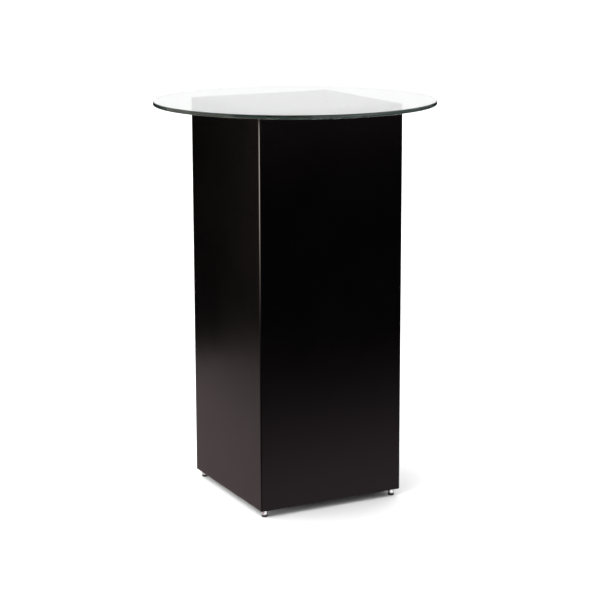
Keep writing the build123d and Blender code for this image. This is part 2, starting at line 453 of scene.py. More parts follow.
@dataclass(frozen=True)
class PlatedMetal(Finish):
    """Electroplated turned steel: bright, with the lathe's fine rings under the plate."""

    name: str
    colour: str
    cloud_colour: str
    roughness: float
    ring_width: float
    ring_depth: float
    dullest: float = 1.6  # roughness of the dullest clouds, as a share of the clear parts'
    cloud_size: float = 5 * MM
    across_rings: float = 0.02  # how little the pattern changes within one ring

    def surface(self, tree: bpy.types.NodeTree, place: bpy.types.NodeSocket) -> bpy.types.Node:
        """Plated metal with turning rings and a faint clouding.

        Args:
            tree: the material's node tree.
            place: object coordinates.

        Returns:
            The shader.
        """
        scale = (self.across_rings, self.across_rings, 1.0)
        flat = add_node(tree, "ShaderNodeMapping", {"Vector": place, "Scale": scale})
        rings = add_node(
            tree, "ShaderNodeTexNoise", {"Vector": flat, "Scale": 1 / self.ring_width, "Detail": 2.0}
        )
        cloud = add_node(
            tree, "ShaderNodeTexNoise", {"Vector": place, "Scale": 1 / self.cloud_size, "Detail": 4.0}
        )
        tone = add_node(
            tree,
            "ShaderNodeMapRange",
            {"Value": cloud, "From Min": 0.35, "From Max": 0.75},
            interpolation_type="SMOOTHSTEP",
        )
        colour = add_node(
            tree,
            "ShaderNodeMix",
            {MIX_FACTOR: tone, MIX_LOW: linear(self.colour), MIX_HIGH: linear(self.cloud_colour)},
            data_type="RGBA",
        ).outputs[MIX_COLOUR]
        roughness = add_node(
            tree,
            "ShaderNodeMapRange",
            {
                "Value": cloud,
                "From Min": 0.3,
                "From Max": 0.8,
                "To Min": self.roughness,
                "To Max": self.roughness * self.dullest,
            },
            interpolation_type="SMOOTHSTEP",
        )
        bump = add_node(tree, "ShaderNodeBump", {"Height": rings, "Distance": self.ring_depth})
        return add_node(
            tree,
            "ShaderNodeBsdfPrincipled",
            {"Base Color": colour, "Metallic": 1.0, "Roughness": roughness, "Normal": bump},
        )


@dataclass(frozen=True)
class PadRubber(Finish):
    """Moulded black rubber: matt, with the mould's fine grain and a dusty bloom."""

    name: str = "pad_rubber"
    colour: str = "060606"
    bloom: str = "100f0f"
    ior: float = 1.25
    grain_size: float = 0.5 * MM
    grain_depth: float = 0.04 * MM
    dust_size: float = 4 * MM

    def surface(self, tree: bpy.types.NodeTree, place: bpy.types.NodeSocket) -> bpy.types.Node:
        """Matt rubber.

        Args:
            tree: the material's node tree.
            place: object coordinates.

        Returns:
            The shader.
        """
        grain = add_node(
            tree, "ShaderNodeTexNoise", {"Vector": place, "Scale": 1 / self.grain_size, "Detail": 4.0}
        )
        dust = add_node(
            tree, "ShaderNodeTexNoise", {"Vector": place, "Scale": 1 / self.dust_size, "Detail": 5.0}
        )
        tone = add_node(
            tree,
            "ShaderNodeMapRange",
            {"Value": dust, "From Min": 0.45, "From Max": 0.75},
            interpolation_type="SMOOTHSTEP",
        )
        colour = add_node(
            tree,
            "ShaderNodeMix",
            {MIX_FACTOR: tone, MIX_LOW: linear(self.colour), MIX_HIGH: linear(self.bloom)},
            data_type="RGBA",
        ).outputs[MIX_COLOUR]
        roughness = add_node(
            tree,
            "ShaderNodeMapRange",
            {"Value": grain, "To Min": 0.62, "To Max": 0.82},
            interpolation_type="SMOOTHSTEP",
        )
        bump = add_node(tree, "ShaderNodeBump", {"Height": grain, "Distance": self.grain_depth})
        return add_node(
            tree,
            "ShaderNodeBsdfPrincipled",
            {"Base Color": colour, "Roughness": roughness, "IOR": self.ior, "Normal": bump},
        )


@dataclass(frozen=True)
class ClearBumper(Finish):
    """Cast clear polyurethane: soft, slightly hazy and glossy."""

    name: str = "clear_bumper"
    colour: str = "f2f5f3"
    ior: float = 1.49
    clear: float = 0.92
    haze_size: float = 1.5 * MM

    def surface(self, tree: bpy.types.NodeTree, place: bpy.types.NodeSocket) -> bpy.types.Node:
        """Hazy clear plastic.

        Args:
            tree: the material's node tree.
            place: object coordinates.

        Returns:
            The shader.
        """
        haze = add_node(
            tree, "ShaderNodeTexNoise", {"Vector": place, "Scale": 1 / self.haze_size, "Detail": 3.0}
        )
        roughness = add_node(
            tree,
            "ShaderNodeMapRange",
            {"Value": haze, "To Min": 0.08, "To Max": 0.24},
            interpolation_type="SMOOTHSTEP",
        )
        return add_node(
            tree,
            "ShaderNodeBsdfPrincipled",
            {
                "Base Color": linear(self.colour),
                "Roughness": roughness,
                "IOR": self.ior,
                "Transmission Weight": self.clear,
            },
        )


@dataclass(frozen=True)
class FloatGlass(Finish):
    """Toughened clear float glass with a flat polished edge.

    The faces are fire-polished and clear. Iron in the glass drinks red light first, so the
    long way through from the edge is dark green while the way down through the faces is clear.
    The ground and polished edge keeps faint marks along its length.
    """

    name: str = "clear_float_glass"
    tint: str = "4a7062"
    shadow_tint: str = "eef6f2"
    density: float = 5.2
    ior: float = 1.52
    edge_roughness: float = 0.04
    edge_band: float = 1.5 * MM
    mark_size: float = 1.1 * MM

    def surface(self, tree: bpy.types.NodeTree, place: bpy.types.NodeSocket) -> bpy.types.Node:
        """Clear faces and a polished edge; lamps shine straight through.

        Args:
            tree: the material's node tree.
            place: object coordinates.

        Returns:
            The shader.
        """
        split = add_node(tree, "ShaderNodeSeparateXYZ", {0: place}).outputs
        level = add_node(tree, "ShaderNodeCombineXYZ", {0: split["X"], 1: split["Y"]})
        reach = add_node(tree, "ShaderNodeVectorMath", {0: level}, operation="LENGTH").outputs["Value"]
        start = GLASS_RADIUS - self.edge_band
        end = GLASS_RADIUS - self.edge_band / 2
        at_edge = add_node(
            tree,
            "ShaderNodeMapRange",
            {"Value": reach, "From Min": start, "From Max": end},
            interpolation_type="SMOOTHSTEP",
        )
        marks = add_node(
            tree, "ShaderNodeTexNoise", {"Vector": place, "Scale": 1 / self.mark_size, "Detail": 3.0}
        )
        ground = add_node(tree, "ShaderNodeMath", {0: at_edge, 1: marks}, operation="MULTIPLY")
        roughness = add_node(
            tree, "ShaderNodeMath", {0: ground, 1: self.edge_roughness}, operation="MULTIPLY"
        )
        glass = add_node(
            tree,
            "ShaderNodeBsdfPrincipled",
            {"Base Color": WHITE, "Roughness": roughness, "IOR": self.ior, "Transmission Weight": 1.0},
        )
        through = add_node(tree, "ShaderNodeBsdfTransparent", {"Color": linear(self.shadow_tint)})
        lamp_ray = add_node(tree, "ShaderNodeLightPath").outputs["Is Shadow Ray"]
        return add_node(tree, "ShaderNodeMixShader", {0: lamp_ray, 1: glass, 2: through})

    def volume(self, tree: bpy.types.NodeTree) -> bpy.types.Node | None:
        """The iron tint, which deepens with the light's way through the glass."""
        inputs = {"Color": linear(self.tint), "Density": self.density}
        return add_node(tree, "ShaderNodeVolumeAbsorption", inputs)


@dataclass(frozen=True)
class StudioFloor(Finish):
    """Matt white seamless studio floor, with painted shade on its far end that only rays coming through the
    glass see.
    """

    name: str = "studio_floor"
    colour: str = "f6f6f6"
    # colour of the painted shade: the far floor, seen through the glass, darkened as if less light reached
    # it
    painted_far_shade_colour: str = "b4b4b4"
    lit_reach: float = 4.0
    dim_reach: float = 8.0

    def surface(self, tree: bpy.types.NodeTree, place: bpy.types.NodeSocket) -> bpy.types.Node:
        """Matt white, with painted shade darkening the far end in the light that comes through the glass.

        Args:
            tree: the material's node tree.
            place: object coordinates.

        Returns:
            The shader.
        """
        reach = add_node(tree, "ShaderNodeVectorMath", {0: place}, operation="LENGTH").outputs["Value"]
        far = add_node(
            tree,
            "ShaderNodeMapRange",
            {"Value": reach, "From Min": self.lit_reach, "From Max": self.dim_reach},
            interpolation_type="SMOOTHSTEP",
        )
        through = add_node(tree, "ShaderNodeLightPath").outputs["Is Transmission Ray"]
        # painted shade: far from the plinth, rays that come through the glass see a darker floor colour
        painted_shade_share = add_node(tree, "ShaderNodeMath", {0: far, 1: through}, operation="MULTIPLY")
        colour = add_node(
            tree,
            "ShaderNodeMix",
            {MIX_FACTOR: painted_shade_share, MIX_LOW: linear(self.colour), MIX_HIGH: linear(self.painted_far_shade_colour)},
            data_type="RGBA",
        ).outputs[MIX_COLOUR]
        return add_node(tree, "ShaderNodeBsdfDiffuse", {"Color": colour})


@dataclass(frozen=True)
class StudioCard(Finish):
    """A card that only reflections see: black velvet, or a softbox that fades along one way."""

    colour: str = "000000"
    strength: float = 0.0
    direction: Triple = UPWARDS
    dark_at: float = 0.0
    bright_at: float = 0.0

    def surface(self, tree: bpy.types.NodeTree, place: bpy.types.NodeSocket) -> bpy.types.Node:
        """Emission, even or fading.

        Args:
            tree: the material's node tree.
            place: object coordinates.

        Returns:
            The shader.
        """
        inputs = {"Color": linear(self.colour), "Strength": self.strength}
        if self.dark_at != self.bright_at:
            along = add_node(
                tree, "ShaderNodeVectorMath", {0: place, 1: self.direction}, operation="DOT_PRODUCT"
            ).outputs["Value"]
            inputs["Strength"] = add_node(
                tree,
                "ShaderNodeMapRange",
                {
                    "Value": along,
                    "From Min": self.dark_at,
                    "From Max": self.bright_at,
                    "To Max": self.strength,
                },
                interpolation_type="SMOOTHSTEP",
            )
        return add_node(tree, "ShaderNodeEmission", inputs)


LACQUER = SatinLacquer()
RAW_MDF = RawMdf()
# Bright chrome mirrors the floor and the column sharply, as thin light and dark bands.
CHROME = PlatedMetal(
    name="bright_chrome",
    colour="b8b4b4",
    cloud_colour="a8a5a6",
    roughness=0.05,
    ring_width=0.12 * MM,
    ring_depth=0.0008 * MM,
)
# Bright zinc gives a blurred grey sheen, with faint straw clouds left by its passivation.
ZINC = PlatedMetal(
    name="bright_zinc",
    colour="b9bcbf",
    cloud_colour="a9a391",
    roughness=0.24,
    ring_width=0.2 * MM,
    ring_depth=0.004 * MM,
)
RUBBER = PadRubber()
BUMPER = ClearBumper()
GLASS = FloatGlass()


def spruce(grain: Grain) -> PlanedWood:
    """Planed spruce with its grain that way: pale straw with wide tan streaks."""
    name = f"planed_spruce_{grain.name.lower()}"
    return PlanedWood(name=name, pale="d9b98a", dark="b98a52", ring_width=3 * MM, grain=grain)


def beech(grain: Grain) -> PlanedWood:
    """Plain beech with its grain that way: pinkish tan, with a finer and fainter figure."""
    name = f"plain_beech_{grain.name.lower()}"
    return PlanedWood(name=name, pale="d6b08a", dark="b88a63", ring_width=1.5 * MM, grain=grain)


# ------------------------------------------------------------------ mesh building


def softened(corners: Sequence[Triple], steps: int = 4) -> list[Point]:
    """Round the corners of an open outline.

    Args:
        corners: radius, height and rounding of each corner, in metres; a rounding of 0 stays sharp.
        steps: points on each rounding, besides its start.

    Returns:
        The outline's points.
    """
    points: list[Point] = []
    for i, (r, z, rounding) in enumerate(corners):
        here = Vector((r, z))
        if rounding <= 0 or i in (0, len(corners) - 1):
            points.append((r, z))
            continue
        before = Vector(corners[i - 1][:2]) - here
        after = Vector(corners[i + 1][:2]) - here
        start = here + before.normalized() * min(rounding, before.length / 2)
        end = here + after.normalized() * min(rounding, after.length / 2)
        for step in range(steps + 1):
            t = step / steps
            curve = start * (1 - t) ** 2 + here * 2 * t * (1 - t) + end * t**2
            points.append((curve.x, curve.y))
    return points


def finish_mesh(
    name: str,
    made: bmesh.types.BMesh,
    finishes: Sequence[Finish],
    sharp_degrees: float = SHARP_DEGREES,
) -> bpy.types.Object:
    """Turn a built mesh into an object with smooth shading and its finishes.

    Args:
        name: the piece's name.
        made: the built mesh, which is freed.
        finishes: the finishes in the order of its faces' material numbers.
        sharp_degrees: edges sharper than this stay sharp.

    Returns:
        The object, at the origin.
    """
    bmesh.ops.remove_doubles(made, verts=made.verts, dist=WELD_GAP)
    bmesh.ops.recalc_face_normals(made, faces=made.faces)
    mesh = bpy.data.meshes.new(name)
    made.to_mesh(mesh)
    made.free()
    mesh.shade_smooth()
    mesh.set_sharp_from_angle(angle=math.radians(sharp_degrees))
    for finish in finishes:
        mesh.materials.append(finish.material())
    piece = bpy.data.objects.new(name, mesh)
    bpy.context.scene.collection.objects.link(piece)
    return piece


def skin(made: bmesh.types.BMesh, rings: Sequence[Sequence[Vector]], closed_ends: bool = True) -> None:
    """Join rings of points with faces.

    Args:
        made: the mesh that gets them.
        rings: rings with the same number of points each.
        closed_ends: whether the first and last rings are closed with a face.
    """
    rows = [[made.verts.new(p) for p in ring] for ring in rings]
    count = len(rows[0])
    for low, high in zip(rows, rows[1:]):
        for i in range(count):
            j = (i + 1) % count
            made.faces.new((low[i], low[j], high[j], high[i]))
    if closed_ends:
        made.faces.new(rows[0][::-1])
        made.faces.new(rows[-1])


def turned(
    made: bmesh.types.BMesh,
    outline: Sequence[Point],
    centre: Vector,
    segments: int,
    loop: bool = False,
) -> None:
    """Turn an outline about a vertical axis.

    Args:
        made: the mesh that gets the turned shape.
        outline: radius and height of each point.
        centre: a point on the axis; heights count from it.
        segments: how many faces go round.
        loop: whether the outline closes on itself, as a ring's does.
    """
    around = [FULL_TURN * i / segments for i in range(segments)]
    rings = []
    for radius, height in outline:
        rings.append([centre + Vector((radius * math.cos(a), radius * math.sin(a), height)) for a in around])
    if loop:
        rings.append(rings[0])
    skin(made, rings, closed_ends=not loop)


def rounded_square(half: float, radius: float, height: float, steps: int) -> list[Vector]:
    """The outline of a square with rounded corners.

    Args:
        half: half the side.
        radius: the corners' radius.
        height: the outline's Z.
        steps: faces on each corner.

    Returns:
        The outline's points, the same number for every size.
    """
    points = []
    for quarter, (sx, sy) in enumerate(((1, 1), (-1, 1), (-1, -1), (1, -1))):
        for step in range(-1, steps + 2):
            share = min(max(step, 0), steps) / steps
            angle = (quarter + share) * FULL_TURN / 4
            beyond = (step - share * steps) * HOLD
            x = sx * (half - radius) + radius * math.cos(angle) - beyond * math.sin(angle)
            y = sy * (half - radius) + radius * math.sin(angle) + beyond * math.cos(angle)
            points.append(Vector((x, y, height)))
    return points


def middle_of(node: str, height: float = 0.0) -> Vector:
    """The point on a CAD node's upright axis at that height."""
    low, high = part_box(node)
    return Vector(((low.x + high.x) / 2, (low.y + high.y) / 2, height))


def stand_in(piece: bpy.types.Object, body: str, slot: str, *nodes: str) -> None:
    """Let a piece stand for its CAD nodes and ride on a body.

    Args:
        piece: the piece.
        body: the CAD body it moves with.
        slot: the record's material slot; not used.
        *nodes: the CAD nodes it stands for.
    """
    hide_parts(*nodes)
    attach(piece, body)
    log.info("%s: %d faces, stands for %s", piece.name, len(piece.data.polygons), ", ".join(nodes))


# ------------------------------------------------------------------ column


@dataclass
class ColumnBoards:
    """The lacquered boards: four mitred walls, the top panel and the base panel."""

    edge_radius: float = 4 * MM
    arris_radius: float = 3 * MM
    corner_steps: int = 8
    arris_steps: int = 5
    front_degrees: float = 270.0  # the way that the front wall faces
    mitre_degrees: float = 45.0
    recess_radius: float = 7.5 * MM
    recess_segments: int = 64
    level_gap: float = 1e-6  # faces nearer than this to a level lie in it

    def __post_init__(self) -> None:
        """Read the boards' places from the frame."""
        low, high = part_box("base_panel")
        self.bottom = low.z
        self.wall_bottom = high.z
        low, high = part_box("top_panel")
        self.wall_top = low.z
        self.top = high.z
        self.board = high.z - low.z

    def build(self) -> None:
        """Build and dress all six boards."""
        for side in Side:
            self.wall(side)
        self.top_panel()
        self.base_panel()

    def wall(self, side: Side) -> None:
        """One mitred wall, lacquered outside and bare inside.

        Args:
            side: the side of the column that the wall closes.
        """
        inner = HALF_SIDE - self.board
        middle = HALF_SIDE - self.edge_radius
        outline = [Vector((-inner, -inner))]
        for start, sx in ((self.front_degrees - self.mitre_degrees, -1), (self.front_degrees, 1)):
            if sx > 0:
                outline += [Vector((-middle + HOLD, -HALF_SIDE)), Vector((middle - HOLD, -HALF_SIDE))]
            for step in range(self.corner_steps + 1):
                angle = math.radians(start + self.mitre_degrees * step / self.corner_steps)
                x = sx * middle + self.edge_radius * math.cos(angle)
                y = -middle + self.edge_radius * math.sin(angle)
                outline.append(Vector((x, y)))
        outline.append(Vector((inner, -inner)))
        turn = Matrix.Rotation(math.radians(side.value), 3, "Z")
        rings = []
        for z in (self.wall_bottom, self.wall_top):
            rings.append([turn @ p.to_3d() + Vector((0, 0, z)) for p in outline])
        made = bmesh.new()
        skin(made, rings)
        outward = turn @ Vector((0, -1, 0))
        for face in made.faces:
            outside = face.calc_center_median().dot(outward) > middle
            face.material_index = 0 if outside else 1
        piece = finish_mesh(f"{side.word}_wall_lacquered", made, (LACQUER, RAW_MDF))
        stand_in(piece, "column", "lacquered_mdf", f"{side.word}_wall")

    def panel(self, name: str, eased: float, bare: float) -> bpy.types.Object:
        """One level panel with an eased edge.

        Args:
            name: the piece's name.
            eased: Z of the face with the eased edge.
            bare: Z of the bare face that meets the walls.

        Returns:
            The piece, which doesn't yet stand for its node.
        """
        away = math.copysign(1, eased - bare)
        levels = [(0.0, bare), (0.0, eased - away * (self.arris_radius + HOLD))]
        for step in range(self.arris_steps + 1):
            angle = step / self.arris_steps * FULL_TURN / 4
            inset = self.arris_radius * (1 - math.cos(angle))
            levels.append((inset, eased - away * self.arris_radius * (1 - math.sin(angle))))
        levels.append((self.arris_radius + HOLD, eased))
        steps = self.corner_steps * 2
        made = bmesh.new()
        rings = []
        for inset, z in levels:
            rings.append(rounded_square(HALF_SIDE - inset, self.edge_radius - inset, z, steps))
        skin(made, rings)
        for face in made.faces:
            is_bare = abs(face.calc_center_median().z - bare) < self.level_gap
            face.material_index = 1 if is_bare else 0
        return finish_mesh(name, made, (LACQUER, RAW_MDF))

    def top_panel(self) -> None:
        """The top panel, lacquered on its upper face and edges."""
        piece = self.panel("top_panel_lacquered", self.top, self.wall_top)
        stand_in(piece, "column", "lacquered_mdf", "top_panel")

    def base_panel(self) -> None:
        """The base panel, with recesses for the flanges of the foot inserts."""
        piece = self.panel("base_panel_lacquered", self.bottom, self.wall_bottom)
        made = bmesh.new()
        outline = [(self.recess_radius, -INSERT_FLANGE), (self.recess_radius, INSERT_FLANGE)]
        for corner in Corner:
            centre = middle_of(f"foot_insert_{corner.word}", self.bottom)
            turned(made, outline, centre, self.recess_segments)
        cutter = finish_mesh("insert_recess_cutter", made, ())
        cut = piece.modifiers.new("insert_recesses", "BOOLEAN")
        cut.operation = "DIFFERENCE"
        cut.solver = "EXACT"
        cut.object = cutter
        bpy.context.view_layer.update()
        carved = bpy.data.meshes.new_from_object(piece.evaluated_get(bpy.context.evaluated_depsgraph_get()))
        piece.modifiers.clear()
        piece.data = carved
        carved.shade_smooth()
        carved.set_sharp_from_angle(angle=math.radians(SHARP_DEGREES))
        bpy.data.objects.remove(cutter)
        stand_in(piece, "column", "lacquered_mdf", "base_panel")


@dataclass
class InnerFraming:
    """The hidden framing, joinery and screws, whose CAD shapes stay and get their finishes."""

    def dress(self) -> None:
        """Give every hidden node its finish."""
        along_x, along_y, along_z = spruce(Grain.ALONG_X), spruce(Grain.ALONG_Y), spruce(Grain.ALONG_Z)
        for corner in Corner:
            self.paint(f"corner_batten_{corner.word}", along_z)
        for level in ("top", "base"):
            for side in Side:
                runs_in_x = side in (Side.FRONT, Side.BACK)
                self.paint(f"{level}_cleat_{side.word}", along_x if runs_in_x else along_y)
            self.paint(f"{level}_dowels", beech(Grain.ALONG_Z))
            self.paint(f"{level}_screws", ZINC)
        self.paint("mitre_biscuits", beech(Grain.ALONG_Z))
        self.paint("batten_screws", ZINC)

    @staticmethod
    def paint(node: str, finish: Finish) -> None:
        """Put one finish on a CAD node.

        Args:
            node: the node's name.
            finish: its finish.
        """
        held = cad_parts[node]
        held.data.materials.clear()
        held.data.materials.append(finish.material())
        log.info("%s: %s", node, finish.name)


# ------------------------------------------------------------------ levelling feet


@dataclass
class LevellingFoot:
    """One levelling foot: insert, threaded stud, chromed barrel and rubber pad."""

    corner: Corner
    segments: int = 72
    fine_edge: float = 0.15 * MM

    barrel_edge: float = 0.5 * MM
    barrel_gap: float = 0.3 * MM  # between the barrel's body and the pad
    barrel_hole: float = 3.9 * MM
    groove_drop: float = 4.2 * MM
    groove_width: float = 0.9 * MM
    groove_depth: float = 0.7 * MM
    neck_radius: float = 2.6 * MM
    neck_depth: float = 1.0 * MM
    spigot_radius: float = 3.4 * MM
    spigot_depth: float = 1.2 * MM
    spigot_tip_radius: float = 2.9 * MM
    spigot_lead: float = 0.4 * MM

    pitch: float = 1.25 * MM
    thread_depth: float = 0.68 * MM
    thread_steepness: float = 1.25
    crest_share: float = 0.1
    rows_per_pitch: int = 10
    stud_lead: float = 1.0 * MM

    bore_radius: float = 4.05 * MM
    bore_lead: float = 0.4 * MM
    flange_edge: float = 0.2 * MM
    insert_radius: float = 5.5 * MM
    ridge_pitch: float = 2.0 * MM
    ridge_depth: float = 0.9 * MM
    valley_start: float = 0.2  # as a share of the ridges' pitch, as the end is
    valley_end: float = 0.8

    heel_share: float = 0.9
    heel_edge: float = 0.4 * MM
    shoulder_edge: float = 0.9 * MM
    mouth_radius: float = 2.75 * MM
    mouth_edge: float = 0.2 * MM
    lip_radius: float = 2.65 * MM
    lip_depth: float = 1.0 * MM
    socket_radius: float = 3.45 * MM
    socket_floor: float = 1.4 * MM
    eye_radius: float = 0.5 * MM
    tread_rings: int = 3
    tread_depth: float = 0.35 * MM
    tread_slope: float = 0.25 * MM
    tread_width: float = 1.0 * MM
    first_tread_share: float = 0.25
    tread_spacing_share: float = 0.22

    def __post_init__(self) -> None:
        """Read the foot's place from the frame."""
        low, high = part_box(self.node("foot_barrel"))
        self.axis = middle_of(self.node("foot_barrel"))
        self.barrel_radius = (high.x - low.x) / 2
        self.barrel_top = high.z
        self.spigot_end = low.z
        low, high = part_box(self.node("foot_pad"))
        self.pad_radius = (high.x - low.x) / 2
        self.pad_top = high.z

    def node(self, kind: str) -> str:
        """The name of this foot's node of that kind."""
        return f"{kind}_{self.corner.word}"

    def build(self) -> None:
        """Build and dress the foot's four pieces."""
        self.barrel()
        self.stud()
        self.insert()
        self.pad()

    def barrel(self) -> None:
        """The chromed barrel: collar, groove and body, with a snap spigot below."""
        radius, top, fine = self.barrel_radius, self.barrel_top, self.fine_edge
        groove_top = top - self.groove_drop
        groove_bottom = groove_top - self.groove_width
        groove_floor = radius - self.groove_depth
        body_bottom = self.pad_top + self.barrel_gap
        outline = softened(
            [
                (self.spigot_tip_radius, self.spigot_end, 0),
                (self.spigot_radius, self.spigot_end + self.spigot_lead, fine),
                (self.spigot_radius, self.pad_top - self.spigot_depth, fine),
                (self.neck_radius, self.pad_top - self.neck_depth, fine),
                (self.neck_radius, body_bottom, 0),
                (radius, body_bottom, self.barrel_edge),
                (radius, groove_bottom, fine),
                (groove_floor, groove_bottom, fine),
                (groove_floor, groove_top, fine),
                (radius, groove_top, fine),
                (radius, top, self.barrel_edge),
                (self.barrel_hole, top, 0),
            ]
        )
        made = bmesh.new()
        turned(made, outline, self.axis, self.segments)
        piece = finish_mesh(f"{self.node('foot_barrel')}_turned", made, (CHROME,), sharp_degrees=40)
        stand_in(piece, f"foot_{self.corner.word}", "chromed_steel", self.node("foot_barrel"))

    def stud(self) -> None:
        """The stud, with a real right-hand thread of its own pitch."""
        low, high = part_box(self.node("foot_stud"))
        radius = (high.x - low.x) / 2
        length = high.z - self.barrel_top
        rows = round(length / self.pitch * self.rows_per_pitch)
        segments = self.segments // 2
        rings = []
        for row in range(rows + 1):
            z = self.barrel_top + length * row / rows
            tip = max(0.0, z - (high.z - self.stud_lead))
            ring = []
            for i in range(segments):
                turn = i / segments
                phase = (z / self.pitch - turn) % 1.0
                crest = abs(2 * phase - 1)
                cut = min(1.0, max(0.0, crest * self.thread_steepness - self.crest_share))
                reach = radius - max(self.thread_depth * cut, tip)
                angle = FULL_TURN * turn
                ring.append(self.axis + Vector((reach * math.cos(angle), reach * math.sin(angle), z)))
            rings.append(ring)
        made = bmesh.new()
        skin(made, rings)
        piece = finish_mesh(f"{self.node('foot_stud')}_threaded", made, (ZINC,), sharp_degrees=50)
        stand_in(piece, f"foot_{self.corner.word}", "zinc_plated_steel", self.node("foot_stud"))

    def insert(self) -> None:
        """The insert: a flush flange, a bore and a coarse outside thread."""
        low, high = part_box(self.node("foot_insert"))
        flange_radius = (high.x - low.x) / 2
        flange_top = low.z + INSERT_FLANGE
        outline = [
            (self.bore_radius, low.z + self.bore_lead),
            (self.bore_radius + self.bore_lead, low.z),
            (flange_radius - self.flange_edge, low.z),
            (flange_radius, low.z + self.flange_edge),
            (flange_radius, flange_top),
            (self.insert_radius, flange_top),
        ]
        valley_radius = self.insert_radius - self.ridge_depth
        ridges = int((high.z - flange_top) / self.ridge_pitch)
        for ridge in range(ridges):
            base = flange_top + ridge * self.ridge_pitch
            outline += [
                (self.insert_radius, base + self.ridge_pitch * self.valley_start),
                (valley_radius, base + self.ridge_pitch / 2),
                (self.insert_radius, base + self.ridge_pitch * self.valley_end),
            ]
        outline += [(self.insert_radius, high.z), (self.bore_radius, high.z)]
        made = bmesh.new()
        turned(made, outline, self.axis, self.segments, loop=True)
        piece = finish_mesh(f"{self.node('foot_insert')}_turned", made, (ZINC,))
        stand_in(piece, "column", "zinc_plated_steel", self.node("foot_insert"))

    def pad(self) -> None:
        """The rubber pad, with a rounded shoulder, a socket and tread rings underneath."""
        radius, top = self.pad_radius, self.pad_top
        lip = top - self.lip_depth
        outline = [(self.eye_radius, 0.0)]
        for ring in range(self.tread_rings):
            start = radius * (self.first_tread_share + self.tread_spacing_share * ring)
            outline += [
                (start, 0.0),
                (start + self.tread_slope, self.tread_depth),
                (start + self.tread_width - self.tread_slope, self.tread_depth),
                (start + self.tread_width, 0.0),
            ]
        outline += softened(
            [
                (radius * self.heel_share, 0.0, 0),
                (radius, 0.0, self.heel_edge),
                (radius, top, self.shoulder_edge),
                (self.mouth_radius, top, self.mouth_edge),
                (self.lip_radius, lip, 0),
                (self.socket_radius, lip, 0),
                (self.socket_radius, self.socket_floor, 0),
                (self.eye_radius, self.socket_floor, 0),
            ]
        )
        made = bmesh.new()
        turned(made, outline, self.axis, self.segments)
        piece = finish_mesh(f"{self.node('foot_pad')}_moulded", made, (RUBBER,))
        stand_in(piece, f"pad_{self.corner.word}", "pad_rubber", self.node("foot_pad"))


# ------------------------------------------------------------------ glass top


@dataclass
class GlassTop:
    """The round glass and the four clear bumpers under it."""

    arris: float = 1.0 * MM
    polish: float = 0.18 * MM
    rim_width: float = 3.0 * MM
    segments: int = 512
    bumper_segments: int = 48
    bumper_steps: int = 8
    bumper_eye: float = 0.2 * MM
    bumper_foot: float = 0.15 * MM
    bumper_dome: float = 0.9 * MM

    def build(self) -> None:
        """Build and dress the glass and its bumpers."""
        self.disc()
        for side in Side:
            self.bumper(side)

    def disc(self) -> None:
        """The glass disc, with an arris above and below its flat polished edge."""
        low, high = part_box("glass_top")
        rim = softened(
            [
                (GLASS_RADIUS - self.rim_width, low.z, 0),
                (GLASS_RADIUS - self.arris, low.z, self.polish),
                (GLASS_RADIUS, low.z + self.arris, self.polish),
                (GLASS_RADIUS, high.z - self.arris, self.polish),
                (GLASS_RADIUS - self.arris, high.z, self.polish),
                (GLASS_RADIUS - self.rim_width, high.z, 0),
            ]
        )
        made = bmesh.new()
        turned(made, rim, Vector((0, 0, 0)), self.segments)
        piece = finish_mesh("glass_top_polished", made, (GLASS,), sharp_degrees=60)
        stand_in(piece, "glass", "clear_glass", "glass_top")

    def bumper(self, side: Side) -> None:
        """One clear bumper, domed a little at its edge.

        Args:
            side: the side of the column that it lies along.
        """
        node = f"glass_bumper_{side.word}"
        low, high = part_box(node)
        radius, height = (high.x - low.x) / 2, high.z - low.z
        outline = softened(
            [
                (self.bumper_eye, 0, 0),
                (radius, 0, self.bumper_foot),
                (radius, height, self.bumper_dome),
                (self.bumper_eye, height, 0),
            ],
            self.bumper_steps,
        )
        made = bmesh.new()
        turned(made, outline, middle_of(node, low.z), self.bumper_segments)
        piece = finish_mesh(f"{node}_cast", made, (BUMPER,))
        stand_in(piece, "column", "clear_bumper", node)


# ------------------------------------------------------------------ studio


